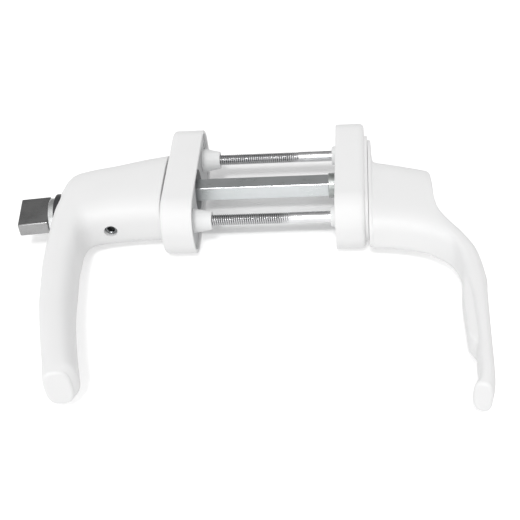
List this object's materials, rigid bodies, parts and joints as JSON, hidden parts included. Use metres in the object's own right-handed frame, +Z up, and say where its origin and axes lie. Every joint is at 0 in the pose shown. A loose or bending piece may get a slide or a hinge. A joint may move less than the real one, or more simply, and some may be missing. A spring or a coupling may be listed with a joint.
{
  "type": "door handle set",
  "caption": "Two-sided balcony door handle set with tall rosettes, a square spindle and fixing screws, one lever lockable by key.",
  "frame": {"origin": "on the spindle's axis, half way through the door", "axes": "+X along the spindle from the lockable handle to the plain one, +Y level along the door's face, +Z up, both levers hanging down"},
  "size_m": [0.2027, 0.0286, 0.1602],
  "materials": {
    "white_coating": "smooth white powder coat on a cast alloy body",
    "white_plastic": "satin",
    "bush_plastic": "satin",
    "dark_plastic": "satin",
    "plate_coating": "thin white coat on a zinc casting",
    "spindle_steel": "zinc plated, satin",
    "screw_steel": "bright zinc plated",
    "grub_steel": "satin",
    "spring_steel": "drawn",
    "hub_metal": "turned",
    "lock_metal": "satin nickel plated",
    "key_metal": "satin nickel plated"
  },
  "bodies": {
    "door_side": {"left_rosette": "white_coating", "left_base_plate": "plate_coating", "left_upper_sleeve": "white_plastic", "left_lower_sleeve": "white_plastic", "left_bush": "bush_plastic", "right_rosette": "white_coating", "right_base_plate": "plate_coating", "right_upper_sleeve": "white_plastic", "right_lower_sleeve": "white_plastic", "right_collar": "white_coating", "right_bush": "bush_plastic", "upper_screw": "screw_steel", "lower_screw": "screw_steel"},
    "handle": {"spindle": "spindle_steel", "left_lever": "white_coating", "lock_guide": "dark_plastic", "grub_screw": "grub_steel", "left_hub": "hub_metal", "left_index_disc": "hub_metal", "detent_balls": "spring_steel", "detent_springs": "spring_steel", "left_retaining_ring": "spring_steel", "right_lever": "white_coating", "right_hub": "hub_metal", "right_retaining_ring": "spring_steel", "lock_spring": "spring_steel"},
    "lock_cylinder": {"lock_barrel": "lock_metal", "locking_pin": "screw_steel"},
    "key_plug": {"lock_plug": "lock_metal", "key_blade": "key_metal", "key_bow": "key_metal"}
  },
  "joints": [
    {"name": "handle_turn", "type": "hinge", "parent": "door_side", "child": "handle", "pos_m": [0, 0, 0], "axis": [-1, 0, 0], "range_deg": [0, 180]},
    {"name": "cylinder_push", "type": "slide", "parent": "handle", "child": "lock_cylinder", "axis": [1, 0, 0], "range_m": [0, 0.0026], "stiffness_N_per_m": 600, "springref_m": -0.003, "deforming": ["lock_spring"]},
    {"name": "key_turn", "type": "hinge", "parent": "lock_cylinder", "child": "key_plug", "pos_m": [-0.09, 0, -0.015], "axis": [-1, 0, 0], "range_deg": [0, 90]}
  ]
}
